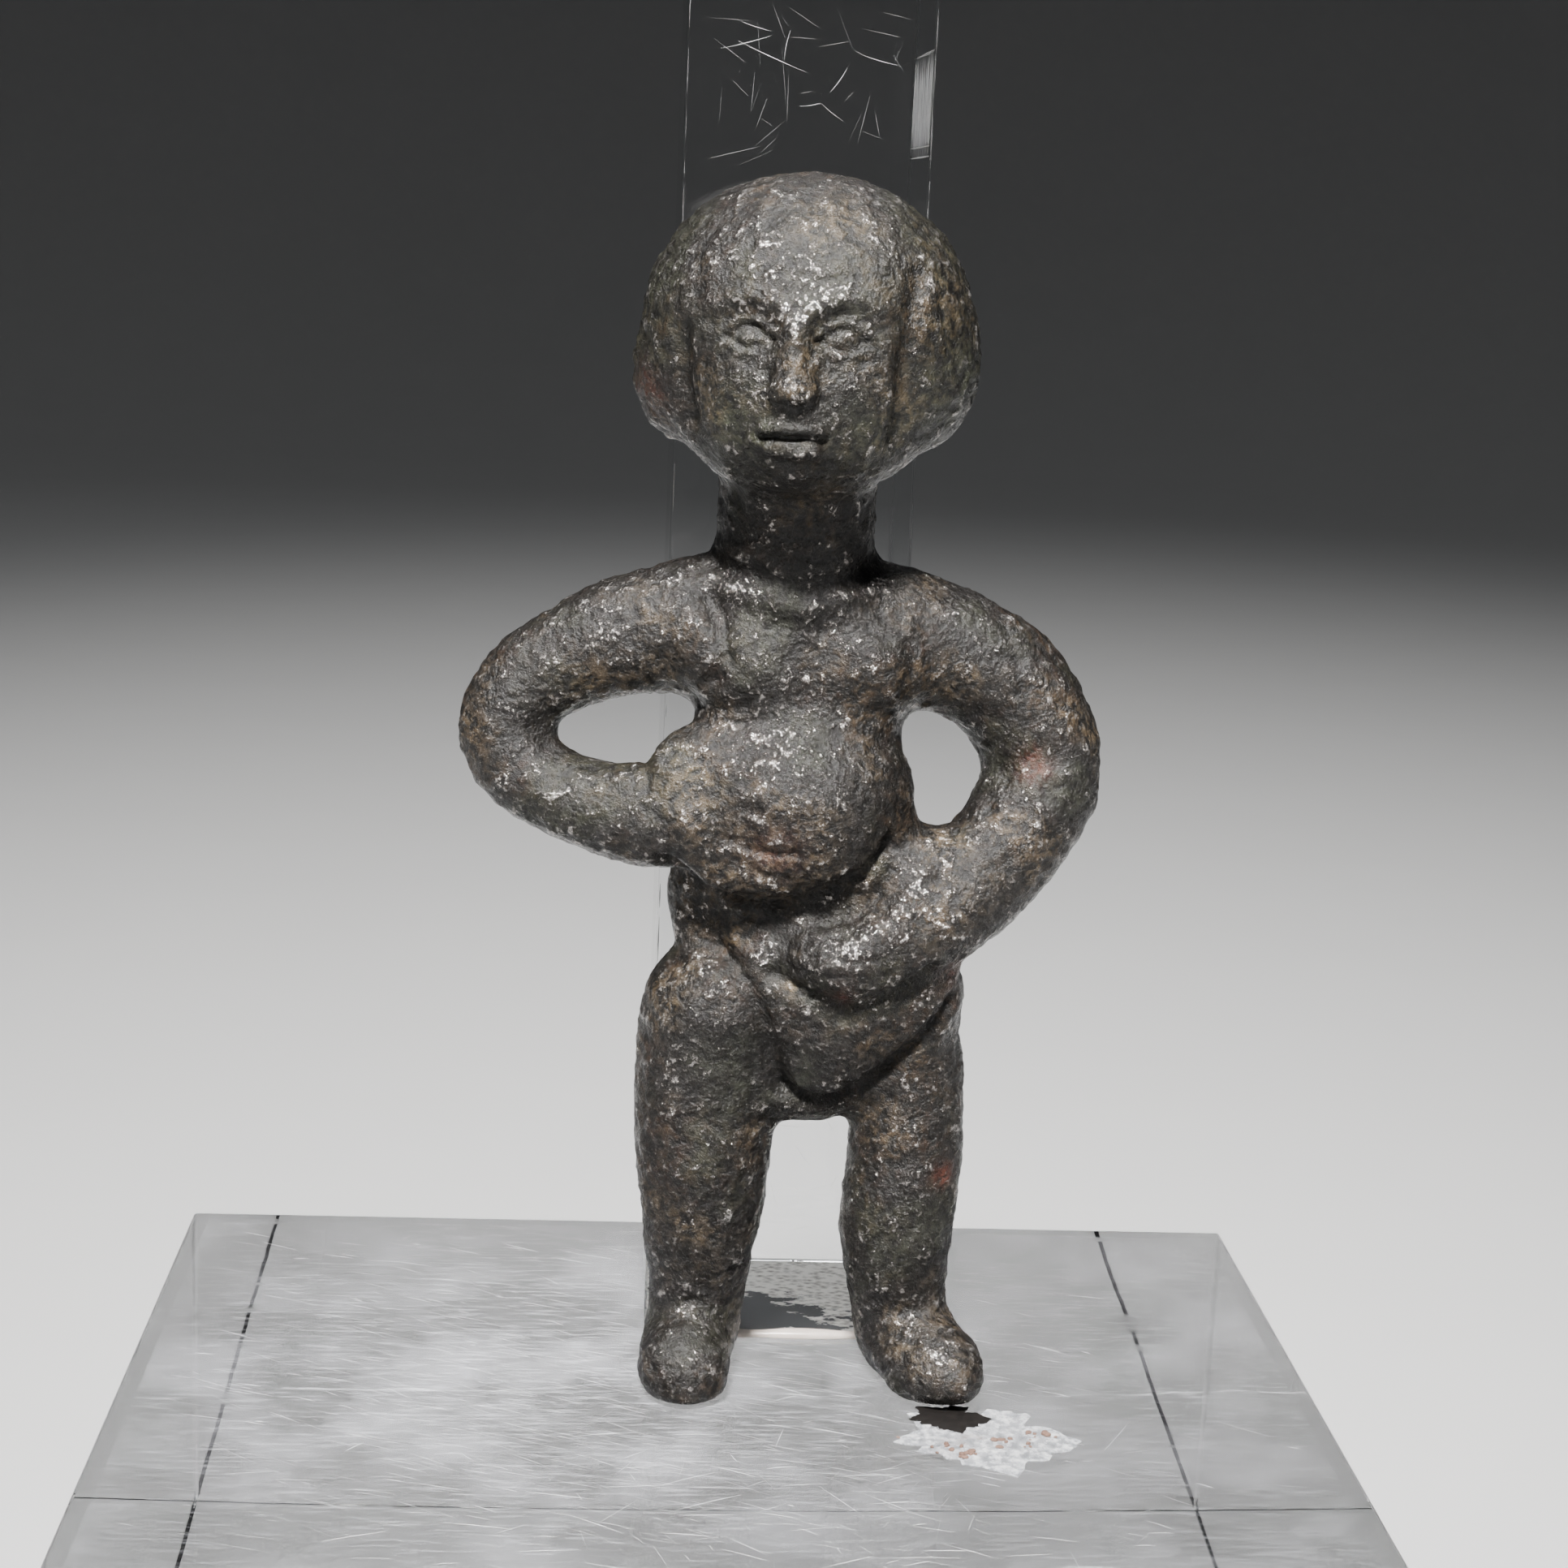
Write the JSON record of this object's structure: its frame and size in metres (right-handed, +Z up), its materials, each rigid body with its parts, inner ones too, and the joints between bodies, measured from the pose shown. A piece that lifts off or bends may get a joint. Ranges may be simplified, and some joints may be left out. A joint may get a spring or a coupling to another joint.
{
  "type": "bronze figurine",
  "caption": "Small cast bronze standing figurine with bent arms, held upright by a clear acrylic bar on a clear block.",
  "frame": {"origin": "middle of the base block's underside", "axes": "+Z up, -Y towards the viewer of the figurine's front, +X to that viewer's right"},
  "size_m": [0.06, 0.05, 0.122],
  "materials": {
    "clear_block": "polished clear acrylic, scratched on top",
    "clear_upright": "polished clear acrylic, scratched",
    "patinated_bronze": "dark grey-brown patina, pitted and worn bright on the high spots"
  },
  "bodies": {
    "root": {"base_block": "clear_block", "upright": "clear_upright", "figurine": "patinated_bronze"}
  },
  "joints": []
}
